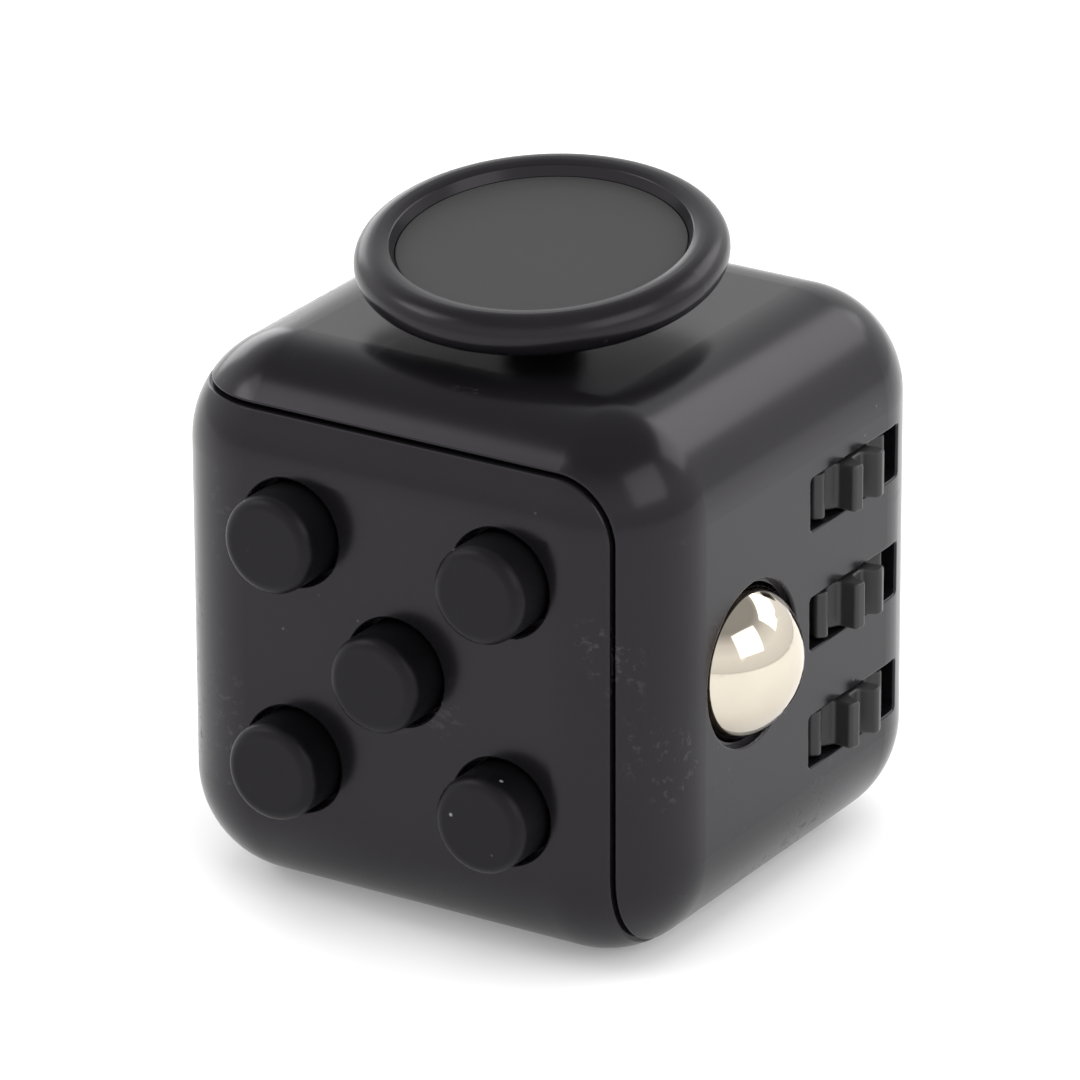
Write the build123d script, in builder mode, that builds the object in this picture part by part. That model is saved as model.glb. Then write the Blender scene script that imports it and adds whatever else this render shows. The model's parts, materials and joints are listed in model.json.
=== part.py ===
from build123d import *
import os
from collections import Counter
from math import atan2, cos, degrees, radians, sin, sqrt

# Fidget cube: a 33 mm rounded cube with one toy on each face.
# Origin at the middle of the bottom face, +Z up.
#   -Y  five click buttons        +Z  joystick disc
#   +X  steel ball and three gears
#   -X  spinning dial             +Y  rocker switch
#   -Z  thumb rest
# Millimetres.

# ---- casing -------------------------------------------------------------
body_size = 33.0
corner_radius = 6.4
wall = 1.8
seam_inset = 3.0            # the two shells meet this far in from the right, rear and top faces
seam_corner_radius = 3.5
seam_gap = 0.18
lip_reach = 0.7             # the front shell's inner lip passes the seam by this much
lip_thickness = 0.8
lip_clearance = 0.1
edge_round = 0.12
mouth_round = 0.15
half = body_size / 2
inner = half - wall
seam = half - seam_inset

# ---- buttons ------------------------------------------------------------
button_offset = 6.95
button_radius = 2.92
button_hole_radius = 3.2
button_height = 2.6
button_edge_round = 0.7
button_flange_radius = 3.9
stop_clearance = 0.08
button_plate_depth = 5.0    # front face to the plate that carries the rubber domes
plate_thickness = 0.8

# ---- joystick -----------------------------------------------------------
pivot_depth = 3.5
lean_forward = radians(8.0)
lean_right = radians(1.2)
disc_radius = 10.7
rim_radius = 1.25
disc_height = 7.23          # pivot to the disc's widest circle
inlay_radius = 8.35
inlay_top = 7.75
inlay_thickness = 0.5
neck_radius = 2.2
skirt_radius = 4.6
skirt_thickness = 0.8
skirt_edge = radians(66)    # measured from the stick's axis
skirt_clearance = 0.12
stem_radius = 1.2
gimbal_radius = 3.3
gimbal_half_height = 0.7
trunnion_radius = 0.45
running_clearance = 0.04
housing_radius = 8.6
housing_bottom = -1.5       # below the pivot
retainer_thickness = 0.8

# ---- ball ---------------------------------------------------------------
ball_radius = 4.7625
ball_depth = 2.1            # centre behind the right face
ball_y = -5.0
ball_hole_radius = 4.88
ball_lip_radius = 4.66
carrier_radius = 5.1
guide_inner_radius = 5.18
guide_outer_radius = 5.6

# ---- gears --------------------------------------------------------------
gear_x = 12.45
gear_y = 6.4
gear_pitch = 7.33
gear_tip_radius = 5.25
gear_root_radius = 4.1
gear_teeth = 12
gear_thickness = 2.8
tooth_root_width = 1.3
tooth_tip_width = 0.8
tooth_round = 0.3
tooth_edge_round = 0.15
gear_phases = {"top": -14.5, "middle": -11.5, "bottom": -15.5}
slot_height = 3.17
slot_start = 1.4
slot_end = 11.4
axle_radius = 1.0
spacer_radius = 2.0

# ---- dial ---------------------------------------------------------------
dial_radius = 8.5
dial_height = 2.67
dial_gap = 0.3
dial_shaft_radius = 2.9
detent_wheel_radius = 5.0
detent_notches = 12

# ---- rocker switch ------------------------------------------------------
rocker_pivot_y = half - 2.9
rocker_rest = radians(9.0)
rocker_half_width = 4.4
rocker_half_height = 6.9
rocker_tip_rise = 4.7       # pivot to the raised ends of the paddle
rocker_middle_rise = 3.8
rocker_pin_radius = 0.75
rocker_opening = (9.4, 15.6)

# ---- thumb rest ---------------------------------------------------------
dish_radius = 8.5
dish_depth = 1.5

screw_radius = 0.5
screw_head_radius = 1.0
screw_head_height = 0.65

os.makedirs("parts", exist_ok=True)


def save(piece, name):
    """Label a finished piece and write it to its own STEP file."""
    piece.part.label = name
    export_step(piece.part, f"parts/{name}.step")


def face_plane(x=0.0, y=0.0, z=0.0, x_dir=(1, 0, 0), z_dir=(0, 0, 1)):
    """Plane given from the cube's centre."""
    return Plane(origin=(x, y, half + z), x_dir=x_dir, z_dir=z_dir)


def front_plane(x=0.0, z=0.0):
    return face_plane(x, -half, z, (1, 0, 0), (0, -1, 0))


def right_plane(y=0.0, z=0.0):
    return face_plane(half, y, z, (0, 1, 0), (1, 0, 0))


def left_plane(y=0.0, z=0.0):
    return face_plane(-half, y, z, (0, -1, 0), (-1, 0, 0))


def rear_plane(x=0.0, z=0.0):
    return face_plane(x, half, z, (-1, 0, 0), (0, 1, 0))


def section_of(plane):
    """Half-section plane through a plane's normal: x is the radius, y the height."""
    return Plane(origin=plane.origin, x_dir=plane.x_dir, z_dir=-plane.y_dir)


def turned(plane, outline):
    """Solid turned about a plane's normal from (radius, height) corners."""
    with BuildPart() as piece:
        with BuildSketch(section_of(plane)):
            with BuildLine():
                Polyline(*outline, close=True)
            make_face()
        revolve(axis=Axis(plane.origin, plane.z_dir))
    return piece.part


def tube(plane, outer_radius, inner_radius, bottom, top):
    """Ring or, with no inner radius, a plain rod between two heights."""
    corners = [(inner_radius, bottom), (outer_radius, bottom), (outer_radius, top), (inner_radius, top)]
    return turned(plane, corners)


def slab(plane, width, length, bottom, top, corner=0.0):
    """Rectangular block on a plane between two heights."""
    with BuildPart() as piece:
        with BuildSketch(plane.offset(bottom)):
            if corner:
                RectangleRounded(width, length, corner)
            else:
                Rectangle(width, length)
        extrude(amount=top - bottom)
    return piece.part


def screw(plane, length):
    """Pan-head screw: the head stands on the plane, the shank goes below it."""
    head_top = screw_head_height
    with BuildPart() as piece:
        add(tube(plane, screw_head_radius, 0, 0, head_top))
        fillet(piece.edges().filter_by(GeomType.CIRCLE).sort_by_distance(plane.offset(head_top).origin)[0], 0.25)
        with BuildSketch(plane.offset(head_top)):
            Rectangle(1.2, 0.25)
            Rectangle(0.25, 1.2)
        extrude(amount=-0.35, mode=Mode.SUBTRACT)
        add(tube(plane, screw_radius, 0, -length, 0))
    return piece.part


# =========================================================================
# Casing: two interlocking shells, three faces each
# =========================================================================
def rounded_block(half_size, radius):
    """Cube about the body's centre with every edge rounded."""
    with BuildPart() as piece:
        with Locations((0, 0, half)):
            Box(2 * half_size, 2 * half_size, 2 * half_size)
        fillet(piece.edges(), radius)
    return piece.part


def seam_region(limit, radius):
    """The space left of, in front of and below three planes that meet in rounded edges."""
    corner = (limit, limit, half + limit)
    reach = 2 * body_size
    with BuildPart() as piece:
        with Locations(corner):
            Box(reach, reach, reach, align=(Align.MAX, Align.MAX, Align.MAX))
        fillet(piece.edges().sort_by_distance(corner)[:3], radius)
    return piece.part


def seam_edges(piece, region):
    """The outer edges of the faces that a seam region has cut on a shell."""
    def was_cut(face):
        middle = face.position_at(0.5, 0.5)
        return min(side.distance_to(middle) for side in region.faces()) < 1e-4

    uses = Counter(edge for face in piece.faces() if was_cut(face) for edge in face.edges())
    return [edge for edge, count in uses.items() if count == 1]


def mouth_edges(piece, plane, reach):
    """Edges that lie in a plane, within reach of its origin."""
    return piece.edges().filter_by(
        lambda edge: abs(plane.to_local_coords(edge.position_at(0.5)).Z) < 0.01
        and abs(plane.to_local_coords(edge.position_at(0.0)).Z) < 0.01
        and (edge.position_at(0.5) - plane.origin).length < reach
    )


outer_block = rounded_block(half, corner_radius)
cavity_block = rounded_block(inner, corner_radius - wall)
lip_block = rounded_block(inner + lip_thickness, corner_radius - wall + lip_thickness)
lip_room_block = rounded_block(
    inner + lip_thickness + lip_clearance, corner_radius - wall + lip_thickness + lip_clearance
)

button_spots = {
    1: (-button_offset, button_offset),
    2: (button_offset, button_offset),
    3: (0.0, 0.0),
    4: (-button_offset, -button_offset),
    5: (button_offset, -button_offset),
}
button_screw_spots = [(0.0, 9.2), (0.0, -9.2), (-9.2, 0.0)]
screw_boss_radius = 1.5
dish_sphere_radius = (dish_radius**2 + dish_depth**2) / (2 * dish_depth)

with BuildPart() as lip:
    add(lip_block)
    add(seam_region(seam + lip_reach, seam_corner_radius + lip_reach), mode=Mode.INTERSECT)

front_region = seam_region(seam, seam_corner_radius)
with BuildPart() as front_shell:
    add(outer_block)
    add(front_region, mode=Mode.INTERSECT)
    fillet(seam_edges(front_shell, front_region), edge_round)
    add(lip.part)
    add(cavity_block, mode=Mode.SUBTRACT)
    # pad behind the thumb rest, then the shallow spherical dish itself
    add(tube(Plane.XY, dish_radius + 1.5, 0, wall - 0.5, wall + dish_depth))
    with Locations((0, 0, dish_depth - dish_sphere_radius)):
        Sphere(dish_sphere_radius, mode=Mode.SUBTRACT)
    # bosses for the button plate's screws
    for x, z in button_screw_spots:
        add(tube(front_plane(x, z), screw_boss_radius, 0, -button_plate_depth, -wall + 0.5))
    # button holes, with a fine rounded mouth
    with BuildSketch(front_plane()):
        with Locations(*button_spots.values()):
            Circle(button_hole_radius)
    extrude(amount=-wall, mode=Mode.SUBTRACT)
    for spot in button_spots.values():
        fillet(mouth_edges(front_shell, front_plane(*spot), button_hole_radius + 0.1), mouth_round)
    # dial shaft hole in the left wall
    add(tube(left_plane(), dial_shaft_radius + 0.06, 0, -wall - 0.1, 0.1), mode=Mode.SUBTRACT)
    # pilot holes in the bosses
    for x, z in button_screw_spots:
        add(tube(front_plane(x, z), screw_radius, 0, -button_plate_depth, -2.6), mode=Mode.SUBTRACT)
save(front_shell, "front_shell")

pivot = (0, 0, body_size - pivot_depth)
upright = Plane(origin=pivot)
wall_underside = pivot_depth - wall
opening_radius = skirt_radius + skirt_clearance

joystick_screw_spots = [(0.0, 7.0), (-6.06, -3.5), (6.06, -3.5)]
ball_plane = right_plane(ball_y)
gear_levels = {"top": gear_pitch, "middle": 0.0, "bottom": -gear_pitch}
pillar_y = 10.0
pillar_radius = 1.1
pillar_levels = (gear_pitch / 2, -gear_pitch / 2)
pillar_pilot_depth = 3.8
bracket_x = 5.9
bracket_thickness = 0.8
bracket_front = bracket_x + bracket_thickness
pillar_end = bracket_front - half
switch_screw_x = 7.2

with BuildPart() as lip_room:
    add(lip_room_block)
    add(
        seam_region(seam + lip_reach + lip_clearance, seam_corner_radius + lip_reach + lip_clearance),
        mode=Mode.INTERSECT,
    )

rear_region = seam_region(seam + seam_gap, seam_corner_radius + seam_gap)
with BuildPart() as rear_shell:
    add(outer_block)
    add(rear_region, mode=Mode.SUBTRACT)
    fillet(seam_edges(rear_shell, rear_region), edge_round)
    add(lip_room.part, mode=Mode.SUBTRACT)
    add(cavity_block, mode=Mode.SUBTRACT)
    # spherical seat that the joystick's skirt turns in
    with Locations(pivot):
        Sphere(opening_radius, mode=Mode.SUBTRACT)
    fillet(mouth_edges(rear_shell, Plane.XY.offset(body_size), skirt_radius), mouth_round)
    # ball hole: a lip part-way in keeps the ball from falling out
    add(tube(ball_plane, ball_lip_radius, 0, -wall - 0.1, 0.1), mode=Mode.SUBTRACT)
    add(tube(ball_plane, ball_hole_radius, 0, -0.5, 0.1), mode=Mode.SUBTRACT)
    fillet(mouth_edges(rear_shell, ball_plane, ball_hole_radius + 0.1), mouth_round)
    add(tube(ball_plane, ball_hole_radius, 0, -wall - 0.1, -0.9), mode=Mode.SUBTRACT)
    # three slots for the gears
    with BuildSketch(right_plane((slot_start + slot_end) / 2)):
        with GridLocations(1, gear_pitch, 1, 3):
            RectangleRounded(slot_end - slot_start, slot_height, 0.25)
    extrude(amount=-2 * wall, mode=Mode.SUBTRACT)
    slot_mouths = rear_shell.edges().filter_by(Axis.Y).filter_by(
        lambda edge: edge.position_at(0.5).X > half - 0.01 and edge.position_at(0.5).Y > slot_start
    )
    fillet(slot_mouths, mouth_round)
    # pillars for the gear bracket
    for level in pillar_levels:
        pillar = right_plane(pillar_y, level)
        add(tube(pillar, pillar_radius, 0, pillar_end, -wall + 0.5))
    # opening for the rocker
    with BuildSketch(rear_plane()):
        RectangleRounded(*rocker_opening, 1.0)
    extrude(amount=-2 * wall, mode=Mode.SUBTRACT)
    fillet(mouth_edges(rear_shell, rear_plane(), max(rocker_opening)), mouth_round)
    # pilot holes
    for level in pillar_levels:
        pilot = tube(right_plane(pillar_y, level), screw_radius, 0, pillar_end, pillar_end + pillar_pilot_depth)
        add(pilot, mode=Mode.SUBTRACT)
    for x, y in joystick_screw_spots:
        screw_axis = Plane(origin=(x, y, pivot[2]))
        add(tube(screw_axis, screw_radius, 0, 0, wall_underside + 1.2), mode=Mode.SUBTRACT)
    for side in (-1, 1):
        add(tube(rear_plane(side * switch_screw_x), screw_radius, 0, -wall - 1, -0.6), mode=Mode.SUBTRACT)
save(rear_shell, "rear_shell")

# =========================================================================
# Front face: five click buttons over rubber domes
# =========================================================================
flange_top = -wall - stop_clearance
flange_thickness = 0.7
plunger_end = flange_top - flange_thickness - 0.32
for number, (x, z) in button_spots.items():
    spot = front_plane(x, z)
    with BuildPart() as button:
        add(turned(spot, [
            (0, button_height),
            (button_radius, button_height),
            (button_radius, flange_top),
            (button_flange_radius, flange_top),
            (button_flange_radius, flange_top - flange_thickness),
            (1.4, flange_top - flange_thickness),
            (1.4, plunger_end),
            (0, plunger_end),
        ]))
        fillet(button.edges().filter_by(GeomType.CIRCLE).sort_by(Axis.Y)[0], button_edge_round)
    save(button, f"button_{number}")

    with BuildPart() as button_dome:
        add(turned(spot, [
            (0, plunger_end - 0.1),
            (1.2, plunger_end - 0.1),
            (2.2, -button_plate_depth + 0.4),
            (2.7, -button_plate_depth + 0.4),
            (2.7, -button_plate_depth),
            (1.9, -button_plate_depth),
            (0.9, plunger_end - 0.6),
            (0, plunger_end - 0.6),
        ]))
    save(button_dome, f"button_dome_{number}")

plate_back = -button_plate_depth - plate_thickness
with BuildPart() as button_plate:
    add(slab(front_plane(), 20.4, 20.4, plate_back, -button_plate_depth, 2.0))
    with BuildSketch(front_plane().offset(plate_back)):
        with Locations(*button_screw_spots):
            Circle(screw_radius + 0.05)
    extrude(amount=plate_thickness, mode=Mode.SUBTRACT)
save(button_plate, "button_plate")

with BuildPart() as button_plate_screws:
    for x, z in button_screw_spots:
        seat = face_plane(x, -half - plate_back, z, (1, 0, 0), (0, 1, 0))
        add(screw(seat, 3.0))
save(button_plate_screws, "button_plate_screws")

# =========================================================================
# Top face: joystick on a two-axis gimbal, resting a little off upright
# =========================================================================
ring_plane = Plane(origin=pivot, x_dir=(1, 0, 0), z_dir=(0, -sin(lean_forward), cos(lean_forward)))
stick_plane = Plane(
    origin=pivot,
    x_dir=ring_plane.x_dir * cos(lean_right) - ring_plane.z_dir * sin(lean_right),
    z_dir=ring_plane.z_dir * cos(lean_right) + ring_plane.x_dir * sin(lean_right),
)
pin_plane = Plane(origin=pivot, x_dir=(1, 0, 0), z_dir=ring_plane.y_dir)
trunnion_plane = Plane(origin=pivot, x_dir=(0, 1, 0), z_dir=(1, 0, 0))
skirt_inner = skirt_radius - skirt_thickness
skirt_edge_degrees = degrees(skirt_edge)

neck_meets_skirt = sqrt(skirt_radius**2 - neck_radius**2)
stem_meets_skirt = sqrt(skirt_inner**2 - stem_radius**2)
neck_angle = degrees(atan2(neck_meets_skirt, neck_radius))
stem_angle = degrees(atan2(stem_meets_skirt, stem_radius))
edge_angle = 90 - skirt_edge_degrees
rim_centre = disc_radius - rim_radius
rim_top = disc_height + rim_radius
rim_bottom = disc_height - rim_radius
stem_end = -1.4
crest_radius = inlay_radius + 0.3

with BuildPart() as joystick:
    with BuildSketch(section_of(stick_plane)):
        with BuildLine():
            Polyline(
                (0, inlay_top - inlay_thickness),
                (inlay_radius, inlay_top - inlay_thickness),
                (inlay_radius, inlay_top),
                (crest_radius, rim_top - 0.15),
            )
            ThreePointArc(
                (crest_radius, rim_top - 0.15),
                ((crest_radius + rim_centre) / 2, rim_top - 0.03),
                (rim_centre, rim_top),
            )
            CenterArc((rim_centre, disc_height), rim_radius, -90, 180)
            Polyline((rim_centre, rim_bottom), (neck_radius + 0.6, rim_bottom))
            Line((neck_radius + 0.6, rim_bottom), (neck_radius, rim_bottom - 0.6))
            Line((neck_radius, rim_bottom - 0.6), (neck_radius, neck_meets_skirt))
            CenterArc((0, 0), skirt_radius, edge_angle, neck_angle - edge_angle)
            Line(
                (skirt_radius * sin(skirt_edge), skirt_radius * cos(skirt_edge)),
                (skirt_inner * sin(skirt_edge), skirt_inner * cos(skirt_edge)),
            )
            CenterArc((0, 0), skirt_inner, edge_angle, stem_angle - edge_angle)
            Polyline(
                (stem_radius, stem_meets_skirt),
                (stem_radius, stem_end),
                (0, stem_end),
                (0, inlay_top - inlay_thickness),
            )
        make_face()
    revolve(axis=Axis(pivot, stick_plane.z_dir))
    crest = joystick.edges().filter_by(GeomType.CIRCLE).filter_by(lambda edge: abs(edge.radius - crest_radius) < 0.01)
    fillet(crest, 0.12)
    # cross bore for the gimbal pin
    pin_bore = trunnion_radius + running_clearance
    add(tube(pin_plane, pin_bore, 0, -2 * stem_radius, 2 * stem_radius), mode=Mode.SUBTRACT)
save(joystick, "joystick")

with BuildPart() as joystick_inlay:
    add(tube(stick_plane, inlay_radius - 0.03, 0, inlay_top - inlay_thickness, inlay_top))
    fillet(joystick_inlay.edges().filter_by(GeomType.CIRCLE).sort_by(Axis.Z)[-1], 0.08)
save(joystick_inlay, "joystick_inlay")

lug_inner = gimbal_radius + 0.4
lug_outer = 5.8
lug_half_width = 1.3
lug_top = 0.8
trunnion_end = 5.4
trunnion_slot = trunnion_radius + running_clearance
with BuildPart() as gimbal_ring:
    add(tube(ring_plane, gimbal_radius, 2.1, -gimbal_half_height, gimbal_half_height))
    for low, high in ((2.6, trunnion_end), (-trunnion_end, -2.6)):
        add(tube(trunnion_plane, trunnion_radius, 0, low, high))
    add(tube(pin_plane, trunnion_radius, 0, -gimbal_radius, gimbal_radius), mode=Mode.SUBTRACT)
save(gimbal_ring, "gimbal_ring")

with BuildPart() as gimbal_pin:
    add(tube(pin_plane, trunnion_radius, 0, -gimbal_radius + 0.1, gimbal_radius - 0.1))
save(gimbal_pin, "gimbal_pin")

with BuildPart() as joystick_housing:
    add(tube(upright, housing_radius, 4.9, housing_bottom, wall_underside))
    for side in (-1, 1):
        lug = Plane(origin=(side * (lug_inner + lug_outer) / 2, 0, pivot[2]))
        add(slab(lug, lug_outer - lug_inner, 2 * lug_half_width, housing_bottom, lug_top))
        # bearing slot, open downwards so that the ring can be dropped in
        add(slab(lug, lug_outer - lug_inner, 2 * trunnion_slot, housing_bottom, 0), mode=Mode.SUBTRACT)
    add(tube(trunnion_plane, trunnion_slot, 0, -lug_outer, lug_outer), mode=Mode.SUBTRACT)
    for x, y in joystick_screw_spots:
        screw_axis = Plane(origin=(x, y, pivot[2]))
        add(tube(screw_axis, screw_radius + 0.05, 0, housing_bottom, wall_underside), mode=Mode.SUBTRACT)
save(joystick_housing, "joystick_housing")

retainer_bottom = housing_bottom - retainer_thickness
with BuildPart() as joystick_retainer:
    add(tube(upright, housing_radius, 2.6, retainer_bottom, housing_bottom))
    for side in (-1, 1):
        tongue = Plane(origin=(side * (lug_inner + lug_outer) / 2, 0, pivot[2]))
        add(slab(tongue, 1.9, 2 * trunnion_radius, retainer_bottom, -trunnion_radius - 0.05))
    for x, y in joystick_screw_spots:
        screw_axis = Plane(origin=(x, y, pivot[2]))
        hole = tube(screw_axis, screw_radius + 0.05, 0, retainer_bottom, housing_bottom)
        add(hole, mode=Mode.SUBTRACT)
save(joystick_retainer, "joystick_retainer")

with BuildPart() as joystick_screws:
    for x, y in joystick_screw_spots:
        seat = Plane(origin=(x, y, pivot[2] + retainer_bottom), x_dir=(1, 0, 0), z_dir=(0, 0, -1))
        add(screw(seat, wall_underside - retainer_bottom + 1.0))
save(joystick_screws, "joystick_screws")

# =========================================================================
# Right face: rolling ball that also clicks in
# =========================================================================
carrier_mouth = -3.0
carrier_back = -7.4
guide_end = -9.6
guide_floor = -8.9
ball_centre = (half - ball_depth, ball_y, half)

with BuildPart() as ball:
    with Locations(ball_centre):
        Sphere(ball_radius)
save(ball, "ball")

with BuildPart() as ball_carrier:
    add(tube(ball_plane, carrier_radius, 0, carrier_back, carrier_mouth))
    with Locations(ball_centre):
        Sphere(ball_radius + 0.05, mode=Mode.SUBTRACT)
save(ball_carrier, "ball_carrier")

with BuildPart() as ball_guide:
    add(tube(ball_plane, guide_outer_radius, guide_inner_radius, guide_floor, -wall - 0.06))
    add(tube(ball_plane, guide_outer_radius, 0, guide_end, guide_floor))
save(ball_guide, "ball_guide")

# conical click spring between the guide's floor and the carrier
with BuildPart() as ball_spring:
    add(turned(ball_plane, [
        (3.4, guide_floor),
        (4.0, guide_floor),
        (2.2, carrier_back),
        (1.6, carrier_back),
    ]))
save(ball_spring, "ball_spring")

# =========================================================================
# Right face: three gears on one upright axle
# =========================================================================
axle_plane = face_plane(gear_x, gear_y)
arm_gap = 0.3
arm_thickness = 1.0
end_gear_top = gear_pitch + gear_thickness / 2
arm_low = end_gear_top + arm_gap
arm_high = arm_low + arm_thickness

for name, level in gear_levels.items():
    gear_plane = face_plane(gear_x, gear_y, level - gear_thickness / 2)
    def from_axis(corner):
        return (Vector(corner) - gear_plane.origin).length

    with BuildPart() as gear:
        with BuildSketch(gear_plane) as outline:
            Circle(gear_root_radius)
            with BuildLine():
                Polyline(
                    (gear_root_radius - 0.4, tooth_root_width / 2),
                    (gear_tip_radius, tooth_tip_width / 2),
                    (gear_tip_radius, -tooth_tip_width / 2),
                    (gear_root_radius - 0.4, -tooth_root_width / 2),
                    close=True,
                )
            tooth = make_face(mode=Mode.PRIVATE)
            with PolarLocations(0, gear_teeth, gear_phases[name]):
                add(tooth)
            fillet(outline.vertices().filter_by(lambda corner: from_axis(corner) > gear_tip_radius), tooth_round)
            roots = outline.vertices().filter_by(lambda corner: abs(from_axis(corner) - gear_root_radius) < 0.02)
            fillet(roots, tooth_round)
        extrude(amount=gear_thickness)
        level_edges = gear.edges().filter_by(lambda edge: abs(edge.position_at(0).Z - edge.position_at(1).Z) < 1e-6)
        fillet(level_edges, tooth_edge_round)
        add(tube(gear_plane, axle_radius + running_clearance, 0, 0, gear_thickness), mode=Mode.SUBTRACT)
    save(gear, f"gear_{name}")

with BuildPart() as gear_axle:
    add(tube(axle_plane, axle_radius, 0, -arm_high - 0.5, arm_high + 0.5))
save(gear_axle, "gear_axle")

spacer_half = gear_pitch / 2 - gear_thickness / 2 - 0.1
with BuildPart() as gear_spacers:
    for level in pillar_levels:
        add(tube(axle_plane, spacer_radius, axle_radius, level - spacer_half, level + spacer_half))
save(gear_spacers, "gear_spacers")

bracket_width = 9.4
arm_width = 4.6
arm_end = gear_x + 2.05
with BuildPart() as gear_bracket:
    back = face_plane((bracket_x + bracket_front) / 2, gear_y)
    add(slab(back, bracket_thickness, bracket_width, -arm_high, arm_high))
    for side in (-1, 1):
        arm = face_plane((bracket_x + arm_end) / 2, gear_y, side * (arm_low + arm_high) / 2)
        add(slab(arm, arm_end - bracket_x, arm_width, -arm_thickness / 2, arm_thickness / 2))
    add(tube(axle_plane, axle_radius, 0, -arm_high, arm_high), mode=Mode.SUBTRACT)
    for level in pillar_levels:
        hole = face_plane(bracket_x, pillar_y, level, (0, 1, 0), (1, 0, 0))
        add(tube(hole, screw_radius + 0.05, 0, 0, bracket_thickness), mode=Mode.SUBTRACT)
save(gear_bracket, "gear_bracket")

with BuildPart() as gear_bracket_screws:
    for level in pillar_levels:
        seat = face_plane(bracket_x, pillar_y, level, (0, 1, 0), (-1, 0, 0))
        add(screw(seat, 4.0))
save(gear_bracket_screws, "gear_bracket_screws")

# sprung steel comb: one finger behind each gear
comb_thickness = 0.2
with BuildPart() as gear_detent_comb:
    comb = face_plane(bracket_front + comb_thickness / 2, gear_y - 2.6)
    add(slab(comb, comb_thickness, 2.2, -end_gear_top, end_gear_top))
    for level in gear_levels.values():
        finger = face_plane(bracket_front + comb_thickness / 2, gear_y - 0.6, level)
        add(slab(finger, comb_thickness, 3.6, -0.8, 0.8))
save(gear_detent_comb, "gear_detent_comb")

# =========================================================================
# Left face: spinning dial with a notched wheel behind it
# =========================================================================
dial_plane = left_plane()
wheel_top = -wall - 0.3
wheel_thickness = 1.6
dimple_offset = 5.0
dimple_radius = 6.0
with BuildPart() as dial:
    add(tube(dial_plane, dial_radius, 0, dial_gap, dial_height))
    outer_edge = dial.edges().filter_by(GeomType.CIRCLE).sort_by(Axis.X)[0]
    fillet(outer_edge, 0.8)
    add(tube(dial_plane, dial_shaft_radius, 0, wheel_top, dial_gap))
    # finger dimple near the rim
    with Locations((-half - dial_height - dimple_radius + 0.9, 0, half + dimple_offset)):
        Sphere(dimple_radius, mode=Mode.SUBTRACT)
    add(tube(dial_plane, screw_radius + 0.2, 0, wheel_top, 0.9), mode=Mode.SUBTRACT)
save(dial, "dial")

with BuildPart() as dial_detent_wheel:
    with BuildSketch(dial_plane.offset(wheel_top)):
        Circle(detent_wheel_radius)
        with PolarLocations(detent_wheel_radius + 0.25, detent_notches, 90):
            Circle(0.75, mode=Mode.SUBTRACT)
        Circle(screw_radius + 0.25, mode=Mode.SUBTRACT)
    extrude(amount=-wheel_thickness)
save(dial_detent_wheel, "dial_detent_wheel")

wheel_bottom = wheel_top - wheel_thickness
with BuildPart() as dial_screw:
    seat = face_plane(-half - wheel_bottom, 0, 0, (0, 1, 0), (1, 0, 0))
    add(tube(seat, 1.7, 0, 0, 0.8))
    fillet(dial_screw.edges().filter_by(GeomType.CIRCLE).sort_by(Axis.X)[-1], 0.3)
    add(tube(seat, screw_radius + 0.2, 0, wheel_bottom - 0.9, 0))
save(dial_screw, "dial_screw")

detent_depth = (wheel_top + wheel_bottom) / 2
detent_pin_radius = 0.7
detent_tip = detent_wheel_radius + 0.12
detent_guide_low = 5.9
detent_guide_high = 10.0
detent_bore_top = 9.2
detent_plane = face_plane(-half - detent_depth, 0)
with BuildPart() as dial_detent_guide:
    guide_middle = face_plane(-inner + 1.3, 0)
    add(slab(guide_middle, 2.6, 3.0, detent_guide_low, detent_guide_high, 0.3))
    bore = tube(detent_plane, detent_pin_radius + 0.05, 0, detent_guide_low, detent_bore_top)
    add(bore, mode=Mode.SUBTRACT)
save(dial_detent_guide, "dial_detent_guide")

detent_pin_top = 7.6
with BuildPart() as dial_detent_pin:
    add(turned(detent_plane, [
        (0, detent_tip),
        (0.35, detent_tip + 0.1),
        (detent_pin_radius, detent_tip + 0.6),
        (detent_pin_radius, detent_pin_top),
        (0, detent_pin_top),
    ]))
save(dial_detent_pin, "dial_detent_pin")

with BuildPart() as dial_detent_spring:
    coil_turns = 3
    coil_gap = (detent_bore_top - detent_pin_top) / coil_turns
    with BuildLine():
        Helix(coil_gap, detent_bore_top - detent_pin_top - 0.3, 0.5,
              center=(detent_plane.origin.X, 0, half + detent_pin_top + 0.15))
    with BuildSketch(Plane(origin=(detent_plane.origin.X + 0.5, 0, half + detent_pin_top + 0.15), z_dir=(0, 1, 0))):
        Circle(0.14)
    sweep()
save(dial_detent_spring, "dial_detent_spring")

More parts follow.
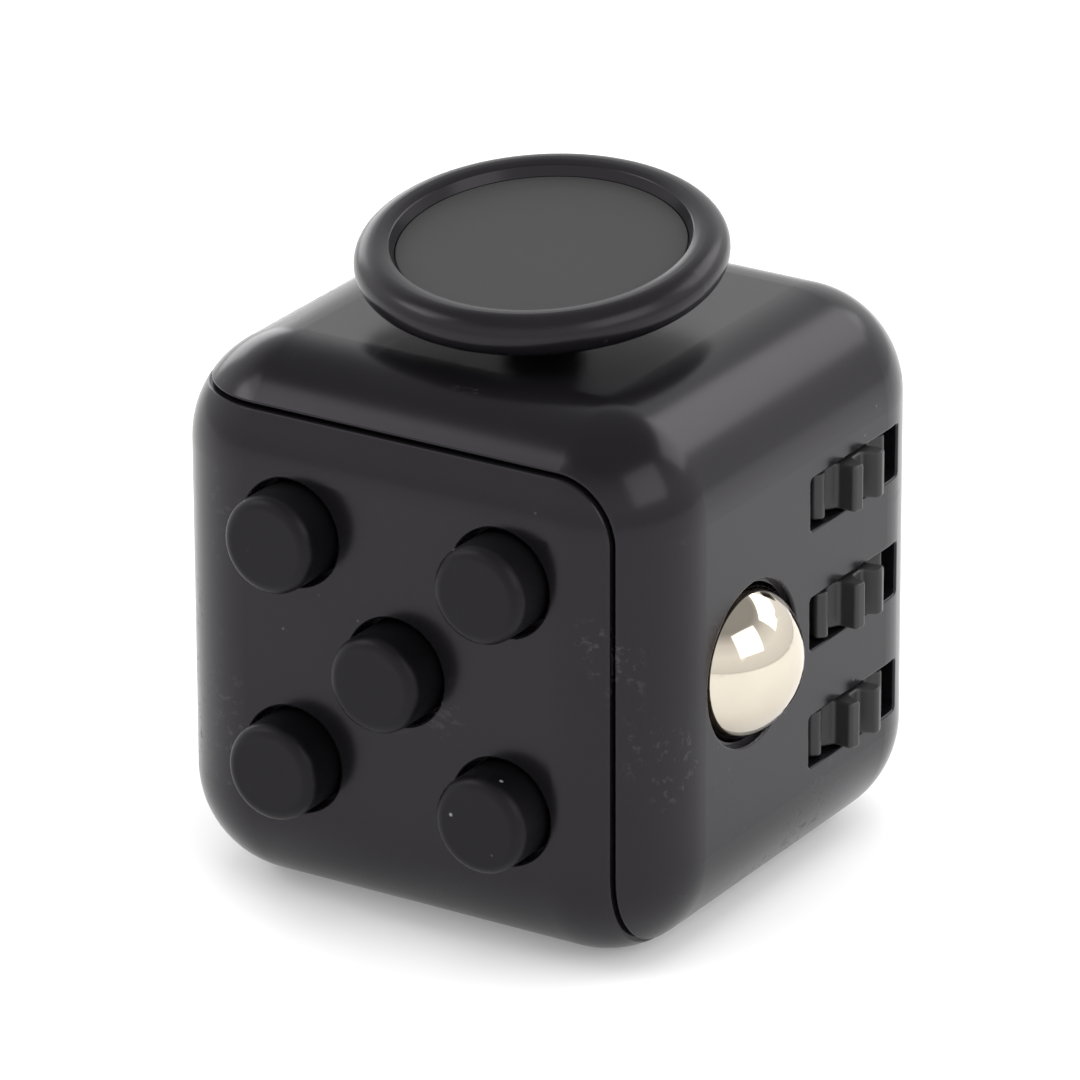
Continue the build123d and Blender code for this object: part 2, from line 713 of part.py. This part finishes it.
# =========================================================================
# Rear face: rocker switch
# =========================================================================
rocker_pivot = (0, rocker_pivot_y, half)
rocker_section = Plane(
    origin=rocker_pivot,
    x_dir=(0, cos(rocker_rest), -sin(rocker_rest)),
    z_dir=(1, 0, 0),
)
rocker_axis = Plane(origin=rocker_pivot, x_dir=(0, 1, 0), z_dir=(1, 0, 0))
rocker_bore_plane = Plane(origin=rocker_pivot, x_dir=(1, 0, 0), z_dir=-rocker_section.x_dir)
neck_end = 5.0
rocker_bore_start = 1.3
rocker_bore_radius = 1.05
with BuildPart() as rocker:
    with BuildSketch(rocker_section):
        with BuildLine():
            Polyline(
                (1.6, -rocker_half_height),
                (rocker_tip_rise, -rocker_half_height),
                (rocker_middle_rise, 0),
                (rocker_tip_rise, rocker_half_height),
                (1.6, rocker_half_height),
                close=True,
            )
        make_face()
        Circle(1.9)
    extrude(amount=rocker_half_width, both=True)
    tips = rocker.edges().filter_by(Axis.X).filter_by(
        lambda edge: (edge.center() - Vector(rocker_pivot)).length > rocker_half_height + 1
    )
    fillet(tips, 0.7)
    with BuildSketch(rocker_section):
        with Locations((-neck_end / 2, 0)):
            Rectangle(neck_end, 3.2)
    extrude(amount=2.0, both=True)
    add(tube(rocker_axis, rocker_pin_radius + running_clearance, 0, -5, 5), mode=Mode.SUBTRACT)
    add(tube(rocker_bore_plane, rocker_bore_radius, 0, rocker_bore_start, neck_end), mode=Mode.SUBTRACT)
save(rocker, "rocker")

with BuildPart() as rocker_pin:
    add(tube(rocker_axis, rocker_pin_radius, 0, -5.8, 5.8))
save(rocker_pin, "rocker_pin")

plunger_start = 3.2
with BuildPart() as rocker_plunger:
    add(turned(rocker_bore_plane, [
        (0, plunger_start),
        (rocker_bore_radius - 0.05, plunger_start),
        (rocker_bore_radius - 0.05, 6.1),
        (0.5, 6.7),
        (0, 6.7),
    ]))
save(rocker_plunger, "rocker_plunger")

with BuildPart() as rocker_spring:
    add(tube(rocker_bore_plane, 0.9, 0.55, rocker_bore_start + 0.05, plunger_start - 0.05))
save(rocker_spring, "rocker_spring")

cradle_half_height = 2.2
cheek_inner = rocker_half_width + 0.3
cheek_outer = cheek_inner + 1.1
saddle_top = 6.6
with BuildPart() as rocker_cradle:
    for side in (-1, 1):
        with BuildSketch(Plane.XY.offset(half - cradle_half_height)):
            with BuildLine():
                Polyline(
                    (side * cheek_inner, inner),
                    (side * (cheek_outer + 2.6), inner),
                    (side * (cheek_outer + 2.6), inner - 1.0),
                    (side * cheek_outer, inner - 1.0),
                    (side * cheek_outer, 10.6),
                    (side * 4.0, 10.6),
                    (side * 4.0, saddle_top - 0.8),
                    (0, saddle_top - 0.8),
                    (0, saddle_top),
                    (side * 3.0, saddle_top),
                    (side * 3.0, 11.4),
                    (side * cheek_inner, 11.4),
                    close=True,
                )
            make_face()
        extrude(amount=2 * cradle_half_height)
    # shallow valley that the plunger snaps across
    with BuildSketch(Plane.YZ):
        with Locations((saddle_top, half)):
            Circle(0.3)
    extrude(amount=2.5, both=True, mode=Mode.SUBTRACT)
    add(tube(rocker_axis, rocker_pin_radius, 0, -5.8, 5.8), mode=Mode.SUBTRACT)
    for side in (-1, 1):
        hole = tube(rear_plane(side * switch_screw_x), screw_radius + 0.05, 0, -4, 0)
        add(hole, mode=Mode.SUBTRACT)
save(rocker_cradle, "rocker_cradle")

with BuildPart() as rocker_screws:
    for side in (-1, 1):
        seat = face_plane(side * switch_screw_x, inner - 1.0, 0, (1, 0, 0), (0, -1, 0))
        add(screw(seat, 2.0))
save(rocker_screws, "rocker_screws")
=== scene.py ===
import json
import math

import bpy
from mathutils import Matrix, Vector


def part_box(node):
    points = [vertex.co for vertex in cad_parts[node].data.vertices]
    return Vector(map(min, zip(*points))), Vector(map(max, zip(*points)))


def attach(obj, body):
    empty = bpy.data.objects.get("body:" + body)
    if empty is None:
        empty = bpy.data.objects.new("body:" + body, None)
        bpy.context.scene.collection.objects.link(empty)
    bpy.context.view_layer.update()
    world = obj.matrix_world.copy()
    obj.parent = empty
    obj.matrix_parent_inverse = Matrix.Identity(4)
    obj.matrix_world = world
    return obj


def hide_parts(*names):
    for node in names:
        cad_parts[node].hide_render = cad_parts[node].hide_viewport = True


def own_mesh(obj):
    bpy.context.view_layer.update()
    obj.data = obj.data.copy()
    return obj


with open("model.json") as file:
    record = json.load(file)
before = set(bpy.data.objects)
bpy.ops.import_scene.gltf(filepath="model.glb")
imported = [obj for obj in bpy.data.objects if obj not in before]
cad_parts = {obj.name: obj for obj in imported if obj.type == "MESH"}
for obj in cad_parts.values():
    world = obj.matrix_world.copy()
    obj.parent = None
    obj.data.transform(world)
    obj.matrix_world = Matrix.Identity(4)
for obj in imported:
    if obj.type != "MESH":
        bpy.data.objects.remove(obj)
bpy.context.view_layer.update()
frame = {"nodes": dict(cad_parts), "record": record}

MM = 0.001
body_half = 16.5 * MM
body_centre = Vector((0, 0, body_half))
bump_depth = 0.01 * MM  # height of the finest grain on every surface


# =========================================================================
# Shader kit: sockets that plain arithmetic works on
# =========================================================================
class Socket:
    """One output of a node. Arithmetic on it adds Math nodes to the finish."""

    def __init__(self, finish, output):
        self.finish = finish
        self.output = output

    def math(self, operation, *others):
        return self.finish.add("ShaderNodeMath", {"operation": operation}, self, *others)

    def __add__(self, other):
        return self.math("ADD", other)

    __radd__ = __add__

    def __sub__(self, other):
        return self.math("SUBTRACT", other)

    def __rsub__(self, other):
        return self.math("MULTIPLY", -1.0).math("ADD", other)

    def __mul__(self, other):
        return self.math("MULTIPLY", other)

    __rmul__ = __mul__

    def __gt__(self, other):
        return self.math("GREATER_THAN", other)

    def clamped(self):
        return self.math("MAXIMUM", 0.0).math("MINIMUM", 1.0)


class Nodes:
    """A node tree that nodes are added to."""

    def __init__(self, tree):
        self.tree = tree

    def add(self, kind, settings, *values, output=0, **named):
        """Adds a node: settings first, then the values or links of its sockets."""
        node = self.tree.nodes.new(kind)
        for key, value in settings.items():
            if key == "stops":
                self._set_stops(node.color_ramp, value)
            else:
                setattr(node, key, value)
        for socket, value in [*enumerate(values), *named.items()]:
            key = socket if isinstance(socket, int) else socket.replace("_", " ")
            self.feed(node.inputs[key], value)
        return Socket(self, node.outputs[output])

    def _set_stops(self, ramp, stops):
        while len(ramp.elements) > 1:
            ramp.elements.remove(ramp.elements[-1])
        ramp.elements[0].position, first = stops[0]
        ramp.elements[0].color = first
        for position, colour in stops[1:]:
            ramp.elements.new(position).color = colour

    def feed(self, target, value):
        if isinstance(value, Socket):
            self.tree.links.new(value.output, target)
        else:
            target.default_value = value

    def ramp(self, value, *stops):
        """Maps a value through grey stops given as (position, brightness)."""
        levels = [(position, (level, level, level, 1.0)) for position, level in stops]
        return self.add("ShaderNodeValToRGB", {"stops": levels}, value)

    def mix(self, factor, first, second):
        """Blends two colours: inputs 6 and 7 and output 2 are a Mix node's colour sockets."""
        node = self.add("ShaderNodeMix", {"data_type": "RGBA"}, factor, output=2)
        self.feed(node.output.node.inputs[6], first)
        self.feed(node.output.node.inputs[7], second)
        return node


class Finish(Nodes):
    """A material made of nodes around one Principled shader."""

    def __init__(self, name, **constants):
        self.material = bpy.data.materials.new(name)
        self.material.use_nodes = True
        super().__init__(self.material.node_tree)
        self.shader = self.tree.nodes["Principled BSDF"]
        for socket, value in constants.items():
            self.shader.inputs[socket.replace("_", " ")].default_value = value
        self.place = self.add("ShaderNodeTexCoord", {}, output="Object")

    def noise(self, scale, detail, roughness, stretch=None):
        """Cloudy noise; stretch makes streaks of it, along the axes with small numbers."""
        place = self.place
        if stretch:
            place = self.add("ShaderNodeMapping", {}, place, Scale=stretch)
        return self.add(
            "ShaderNodeTexNoise", {}, Vector=place, Scale=scale, Detail=detail, Roughness=roughness
        )

    def specks(self, scale, size, share):
        """Small round specks: a share of the cells of a cell pattern get one."""
        cell = {"feature": "F1"}
        place = {"Vector": self.place, "Scale": scale}
        distance = self.add("ShaderNodeTexVoronoi", cell, **place)
        tint = self.add("ShaderNodeTexVoronoi", cell, output="Color", **place)
        pick = self.add("ShaderNodeSeparateColor", {}, tint)
        return self.ramp(distance, (0.0, 1.0), (size, 0.0)) * (pick > 1.0 - share)

    def edges(self, radius, strength):
        """1 along sharp or tightly rounded edges, 0 on flats."""
        soft = self.add("ShaderNodeBevel", {"samples": 4}, Radius=radius)
        true_normal = self.add("ShaderNodeNewGeometry", {}, output="True Normal")
        dot_product = {"operation": "DOT_PRODUCT"}
        facing = self.add("ShaderNodeVectorMath", dot_product, soft, true_normal, output="Value")
        return ((1.0 - facing) * strength).clamped()

    def bump(self, height, strength):
        return self.add("ShaderNodeBump", {}, Height=height, Strength=strength, Distance=bump_depth)

    def colour(self, value):
        self.feed(self.shader.inputs["Base Color"], value)

    def roughness(self, value):
        self.feed(self.shader.inputs["Roughness"], value)

    def normal(self, value):
        self.feed(self.shader.inputs["Normal"], value)


def grey(level, warmth=0.0):
    """Grey, or a slightly warm grey."""
    return (level * (1 + warmth), level, level * (1 - warmth), 1.0)


def tinted(level):
    """Black of this moulding: a trace of violet."""
    return (level * 1.03, level * 0.93, level * 1.12, 1.0)


# =========================================================================
# Finishes
# =========================================================================
cool_gloss = (0.97, 0.91, 1.0, 1.0)  # tint of the black mouldings' gloss


def shell_plastic():
    """Satin-gloss black moulding with soft handling haze, hairlines and dust."""
    finish = Finish("satin_black_moulding", IOR=1.34, Specular_Tint=cool_gloss)
    haze = finish.noise(scale=90, detail=4, roughness=0.55)
    smear = finish.noise(scale=260, detail=5, roughness=0.6, stretch=(1.0, 0.35, 0.6))
    streaks = finish.noise(scale=900, detail=2, roughness=0.5, stretch=(1.0, 0.04, 0.9))
    hairline = finish.ramp(streaks, (0.68, 0.0), (0.74, 1.0))
    coarse_dust = finish.specks(scale=420, size=0.05, share=0.16)
    fine_dust = finish.specks(scale=1100, size=0.06, share=0.05)
    dust = coarse_dust + fine_dust * 0.5
    patches = finish.noise(scale=110, detail=2, roughness=0.5)
    marks = finish.noise(scale=2200, detail=3, roughness=0.6, stretch=(0.5, 1.0, 0.8))
    scuff_area = finish.ramp(patches, (0.60, 0.0), (0.68, 1.0))
    scuffs = scuff_area * finish.ramp(marks, (0.56, 0.0), (0.66, 1.0))
    # paler along tight edges: partly rubbed wear, partly a painted highlight along the edges
    edge_wear_and_highlight = finish.edges(radius=0.35 * MM, strength=3.0)
    base = finish.mix(haze, tinted(0.004), tinted(0.006))
    base = finish.mix(edge_wear_and_highlight * 0.4, base, tinted(0.025))
    base = finish.mix(scuffs * 0.35, base, grey(0.06))
    finish.colour(finish.mix(dust.clamped() * 0.4, base, grey(0.25)))
    handling = haze * 0.09 + smear * 0.07 + hairline * 0.05
    finish.roughness((0.13 + handling + scuffs * 0.22 + dust * 0.3).clamped())
    grain = finish.noise(scale=2600, detail=3, roughness=0.6)
    finish.normal(finish.bump(grain + hairline * 0.15 + dust * 3.0, strength=0.08))
    return finish.material


def matte_button():
    """Matte black moulding with a faint bloom and specks of dust."""
    finish = Finish("matte_black_button", IOR=1.27, Specular_Tint=cool_gloss)
    bloom = finish.noise(scale=300, detail=4, roughness=0.6)
    grain = finish.noise(scale=4200, detail=3, roughness=0.65)
    dust = finish.specks(scale=750, size=0.11, share=0.07)
    # paler along edges: partly rubbed wear, partly a painted highlight along the edges
    edge_wear_and_highlight = finish.edges(radius=0.3 * MM, strength=2.5)
    base = finish.mix(bloom, tinted(0.002), tinted(0.004))
    base = finish.mix(edge_wear_and_highlight * 0.5, base, tinted(0.03))
    finish.colour(finish.mix(dust, base, grey(0.3)))
    finish.roughness((0.36 + bloom * 0.12 + dust * 0.3).clamped())
    finish.normal(finish.bump(grain, strength=0.16))
    return finish.material


def satin_rim():
    """Satin black moulding with small nicks."""
    finish = Finish("satin_black_rim", IOR=1.34, Specular_Tint=cool_gloss)
    haze = finish.noise(scale=150, detail=4, roughness=0.6)
    nicks = finish.specks(scale=700, size=0.10, share=0.10)
    base = finish.mix(haze, tinted(0.004), tinted(0.008))
    finish.colour(finish.mix(nicks * 0.6, base, grey(0.22)))
    finish.roughness((0.2 + haze * 0.1 + nicks * 0.3).clamped())
    grain = finish.noise(scale=2400, detail=3, roughness=0.6)
    finish.normal(finish.bump(grain + nicks * 2.0, strength=0.12))
    return finish.material


def inlay_pad():
    """Matte grey pad with a fine grain."""
    finish = Finish("matte_grey_pad", IOR=1.45)
    cloud = finish.noise(scale=180, detail=4, roughness=0.6)
    grain = finish.noise(scale=5200, detail=2, roughness=0.7)
    base = finish.mix(cloud, grey(0.023, 0.01), grey(0.030, 0.01))
    finish.colour(finish.mix(grain * 0.2, base, grey(0.045)))
    finish.roughness(0.62 + cloud * 0.14)
    finish.normal(finish.bump(grain, strength=0.22))
    return finish.material


def gear_plastic():
    """Satin black moulding, paler along its edges: partly wear, partly a painted highlight on the
    tooth tips.
    """
    finish = Finish("satin_black_gear", IOR=1.4)
    cloud = finish.noise(scale=320, detail=4, roughness=0.6)
    # paler along edges: partly wear, partly a painted highlight on the tooth tips
    edge_wear_and_highlight = finish.edges(radius=0.22 * MM, strength=4.0)
    dust = finish.specks(scale=1300, size=0.08, share=0.08)
    base = finish.mix(cloud, grey(0.017), grey(0.025))
    base = finish.mix(edge_wear_and_highlight * 0.8, base, grey(0.08))
    finish.colour(finish.mix(dust * 0.6, base, grey(0.3)))
    finish.roughness((0.34 + cloud * 0.14).clamped())
    finish.normal(finish.bump(finish.noise(scale=3600, detail=3, roughness=0.6), strength=0.14))
    return finish.material


def polished_steel():
    """Warm mirror-like steel with faint hairline scuffs."""
    finish = Finish("polished_steel", Metallic=1.0)
    cloud = finish.noise(scale=200, detail=4, roughness=0.6)
    streaks = finish.noise(scale=1500, detail=2, roughness=0.5, stretch=(1.0, 0.1, 1.0))
    scuff = finish.ramp(streaks, (0.64, 0.0), (0.7, 1.0))
    finish.colour(finish.mix(cloud, (0.64, 0.59, 0.50, 1.0), (0.54, 0.48, 0.40, 1.0)))
    finish.roughness((0.03 + cloud * 0.05 + scuff * 0.1).clamped())
    finish.normal(finish.bump(scuff, strength=0.03))
    return finish.material


def drawn_steel(name, tint, roughness, stretch):
    """Steel with streaks left by drawing or turning."""
    finish = Finish(name, Metallic=1.0)
    streak = finish.noise(scale=1400, detail=3, roughness=0.6, stretch=stretch)
    finish.colour(finish.mix(streak, grey(tint * 0.85), grey(tint)))
    finish.roughness((roughness + streak * 0.15).clamped())
    finish.normal(finish.bump(streak, strength=0.1))
    return finish.material


def inner_plastic():
    """Dark grey moulding of the parts inside."""
    finish = Finish("inner_moulding", IOR=1.46)
    cloud = finish.noise(scale=260, detail=4, roughness=0.6)
    grain = finish.noise(scale=3000, detail=3, roughness=0.6)
    finish.colour(finish.mix(cloud, grey(0.05), grey(0.075)))
    finish.roughness(0.42 + cloud * 0.15)
    finish.normal(finish.bump(grain, strength=0.15))
    return finish.material


def dome_rubber():
    """Pale grey silicone rubber."""
    finish = Finish("dome_rubber", IOR=1.42)
    cloud = finish.noise(scale=300, detail=4, roughness=0.6)
    finish.colour(finish.mix(cloud, grey(0.30, 0.02), grey(0.38, 0.02)))
    finish.roughness(0.6 + cloud * 0.15)
    finish.normal(finish.bump(finish.noise(scale=4000, detail=2, roughness=0.6), strength=0.15))
    return finish.material


finishes = {
    "shell_plastic": shell_plastic(),
    "button_plastic": matte_button(),
    "joystick_plastic": satin_rim(),
    "inlay_pad": inlay_pad(),
    "gear_plastic": gear_plastic(),
    "polished_steel": polished_steel(),
    "inner_plastic": inner_plastic(),
    "steel_pin": drawn_steel("ground_pin", 0.6, 0.22, (0.1, 1.0, 1.0)),
    "spring_steel": drawn_steel("spring_wire", 0.42, 0.3, (1.0, 0.2, 1.0)),
    "zinc_screw": drawn_steel("zinc_screw", 0.62, 0.3, (1.0, 1.0, 0.2)),
    "dome_rubber": dome_rubber(),
}
finishes["dial_plastic"] = finishes["joystick_plastic"]
finishes["rocker_plastic"] = finishes["joystick_plastic"]

for part in frame["record"]["subparts"]:
    node = frame["nodes"][part["node"]]
    node.data.materials.clear()
    node.data.materials.append(finishes[part["material_slot"]])


# =========================================================================
# Soft pieces built in Blender in place of CAD nodes
# =========================================================================
merge_distance = 0.002 * MM
ring_tolerance = 0.001 * MM
smooth_angle = math.radians(40)


def start_piece():
    """Deselects everything, so that operators act on the new piece only."""
    bpy.ops.object.select_all(action="DESELECT")


def settle(name, slot, body, node):
    """Names the active piece, applies its place and lets it stand for a CAD node."""
    piece = bpy.context.object
    piece.name = name
    for modifier in list(piece.modifiers):
        bpy.ops.object.modifier_apply(modifier=modifier.name)
    bpy.ops.object.transform_apply(location=True, rotation=True, scale=True)
    bpy.ops.object.mode_set(mode="EDIT")
    bpy.ops.mesh.select_all(action="SELECT")
    bpy.ops.mesh.remove_doubles(threshold=merge_distance)
    bpy.ops.mesh.normals_make_consistent(inside=False)
    bpy.ops.object.mode_set(mode="OBJECT")
    bpy.ops.object.shade_smooth_by_angle(angle=smooth_angle)
    piece.data.materials.append(finishes[slot])
    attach(piece, body)
    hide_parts(node)
    return piece


def select_ring(piece, height):
    """Selects the ring of vertices at a height on the piece's own axis."""
    bpy.ops.object.mode_set(mode="EDIT")
    bpy.ops.mesh.select_all(action="DESELECT")
    bpy.ops.mesh.select_mode(type="VERT")
    bpy.ops.object.mode_set(mode="OBJECT")
    for corner in piece.data.vertices:
        corner.select = abs(corner.co.z - height) < ring_tolerance
    bpy.ops.object.mode_set(mode="EDIT")


def click_dome(number):
    """Thin rubber dome with a foot flange and a flat pusher pad on top."""
    node = f"button_dome_{number}"
    low, high = (Vector(corner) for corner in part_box(node))
    middle, tall = (low + high) / 2, high.y - low.y
    foot_radius, pad_radius, flange_radius = 2.15 * MM, 1.2 * MM, 2.68 * MM
    wall, pad_inset, edge_round, sides = 0.42 * MM, 0.35 * MM, 0.1 * MM, 48
    start_piece()
    bpy.ops.mesh.primitive_cone_add(
        vertices=sides, radius1=foot_radius, radius2=pad_radius, depth=tall,
        end_fill_type="NOTHING",
        location=middle, rotation=(math.pi / 2, 0, 0),
    )
    dome = bpy.context.object
    # pusher pad
    select_ring(dome, tall / 2)
    bpy.ops.mesh.edge_face_add()
    bpy.ops.mesh.inset(thickness=pad_inset, depth=0)
    # foot flange
    select_ring(dome, -tall / 2)
    bpy.ops.mesh.extrude_edges_move()
    spread = flange_radius / foot_radius
    bpy.ops.transform.resize(
        value=(spread, 1, spread), center_override=(middle.x, high.y, middle.z)
    )
    bpy.ops.object.mode_set(mode="OBJECT")
    skin = dome.modifiers.new("skin", "SOLIDIFY")
    skin.thickness, skin.offset = wall, -1
    rounding = dome.modifiers.new("rounding", "BEVEL")
    rounding.width, rounding.segments, rounding.limit_method = edge_round, 3, "ANGLE"
    dome = settle(f"rubber_dome_{number}", "dome_rubber", "casing", node)
    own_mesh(dome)


def click_spring():
    """Conical wire coil between the guide's floor and the ball's carrier."""
    low, high = (Vector(corner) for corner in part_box("ball_spring"))
    middle, tall = (low + high) / 2, high.x - low.x
    wire, coil, gap = 0.14 * MM, 2.8 * MM, 0.01 * MM
    turns, steps_per_turn, wire_sides, taper = 3, 48, 12, -0.55
    start_piece()
    bpy.ops.mesh.primitive_circle_add(vertices=wire_sides, radius=wire, rotation=(math.pi / 2, 0, 0))
    bpy.ops.object.transform_apply(location=False, rotation=True, scale=False)
    bpy.ops.object.mode_set(mode="EDIT")
    bpy.ops.mesh.select_all(action="SELECT")
    bpy.ops.transform.translate(value=(coil, 0, 0))
    bpy.ops.object.mode_set(mode="OBJECT")
    spring = bpy.context.object
    winding = spring.modifiers.new("winding", "SCREW")
    winding.angle = turns * 2 * math.pi
    winding.screw_offset = tall - 2 * wire - 2 * gap
    winding.steps = winding.render_steps = turns * steps_per_turn
    winding.use_merge_vertices = False
    bpy.ops.object.modifier_apply(modifier="winding")
    # close both cut ends of the wire
    bpy.ops.object.mode_set(mode="EDIT")
    bpy.ops.mesh.select_all(action="DESELECT")
    bpy.ops.mesh.select_non_manifold()
    bpy.ops.mesh.edge_face_add()
    bpy.ops.object.mode_set(mode="OBJECT")
    cone = spring.modifiers.new("cone", "SIMPLE_DEFORM")
    cone.deform_method, cone.deform_axis, cone.factor = "TAPER", "Z", taper
    bpy.ops.object.modifier_apply(modifier="cone")
    spring.rotation_euler = (0, math.pi / 2, 0)
    spring.location = (low.x + wire + gap, middle.y, middle.z)
    spring = settle("click_coil", "spring_steel", "casing", "ball_spring")
    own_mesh(spring)


for number in range(1, 6):
    click_dome(number)
click_spring()


# =========================================================================
# Stage, light and camera
# =========================================================================
def stage_floor():
    """A white sweep, bright enough to stay white behind the object."""
    sweep_size, gap = 6.0, 0.02 * MM
    start_piece()
    bpy.ops.mesh.primitive_plane_add(size=sweep_size, location=(0, 0, -gap))
    floor = bpy.context.object
    floor.name = "floor"
    paint = Finish(
        "white_sweep", Base_Color=grey(0.8), Roughness=0.9,
        Emission_Color=grey(1.0), Emission_Strength=0.2,
    )
    floor.data.materials.append(paint.material)


def softbox(name, azimuth, elevation, distance, size, radiance, in_gloss=True):
    """A rectangular soft light that looks at the body: 0 is the front, 90 the right."""
    width, height = size
    lamp = bpy.data.lights.new(name, "AREA")
    lamp.shape = "RECTANGLE"
    lamp.size, lamp.size_y = width, height
    lamp.energy = radiance * math.pi * width * height
    holder = bpy.data.objects.new(name, lamp)
    bpy.context.scene.collection.objects.link(holder)
    turn, rise = math.radians(azimuth), math.radians(elevation)
    out = Vector((
        math.sin(turn) * math.cos(rise),
        -math.cos(turn) * math.cos(rise),
        math.sin(rise),
    ))
    holder.location = body_centre + out * distance
    holder.rotation_euler = out.to_track_quat("Z", "Y").to_euler()
    holder.visible_glossy = in_gloss


def white_room():
    """White walls under a dimmer ceiling."""
    wall_strength = 1.3
    world = bpy.data.worlds.new("white_room")
    bpy.context.scene.world = world
    world.use_nodes = True
    room = Nodes(world.node_tree)
    direction = room.add("ShaderNodeTexCoord", {}, output="Generated")
    height = room.add("ShaderNodeSeparateXYZ", {}, direction, output="Z")
    walls = room.ramp(height, (0.0, 0.85), (0.35, 1.0), (0.6, 0.8), (0.8, 0.34), (1.0, 0.36))
    backdrop = world.node_tree.nodes["Background"]
    room.feed(backdrop.inputs["Color"], walls)
    backdrop.inputs["Strength"].default_value = wall_strength


def studio_camera():
    """A long lens from the front right, a little above the body."""
    azimuth, elevation, roll = math.radians(31.94), math.radians(22.62), math.radians(-0.21)
    distance, aside, raised = 506.3 * MM, -0.01 * MM, 1.73 * MM
    back = Vector((
        math.sin(azimuth) * math.cos(elevation),
        -math.cos(azimuth) * math.cos(elevation),
        math.sin(elevation),
    ))
    right = Vector((math.cos(azimuth), math.sin(azimuth), 0))
    up = back.cross(right)
    side = right * math.cos(roll) + up * math.sin(roll)
    top = up * math.cos(roll) - right * math.sin(roll)
    camera = bpy.data.objects.new("camera", bpy.data.cameras.new("camera"))
    bpy.context.scene.collection.objects.link(camera)
    camera.data.sensor_width = 36.0
    camera.data.lens = 293.2
    camera.data.shift_x = -0.0094
    camera.data.shift_y = 0.0045
    camera.data.clip_start, camera.data.clip_end = 0.01, 20.0
    place = body_centre + back * distance + side * aside + top * raised
    turned = Matrix((side, top, back)).transposed().to_4x4()
    camera.matrix_world = Matrix.Translation(place) @ turned
    bpy.context.scene.camera = camera


stage_floor()
white_room()
softbox(
    "ceiling", azimuth=0, elevation=90, distance=0.8, size=(0.9, 0.9), radiance=2.0, in_gloss=False
)
softbox("key_low", azimuth=-57, elevation=36, distance=0.55, size=(0.22, 0.10), radiance=4.5)
softbox("key_high", azimuth=-55, elevation=47, distance=0.55, size=(0.22, 0.11), radiance=2.2)
softbox("side_light", azimuth=78, elevation=34, distance=0.55, size=(0.36, 0.32), radiance=1.9)
softbox("rear_light", azimuth=152, elevation=36, distance=0.60, size=(0.45, 0.26), radiance=2.3)
softbox("left_light", azimuth=-125, elevation=16, distance=0.60, size=(0.30, 0.24), radiance=2.4)
studio_camera()
bpy.context.scene.view_settings.view_transform = "Standard"
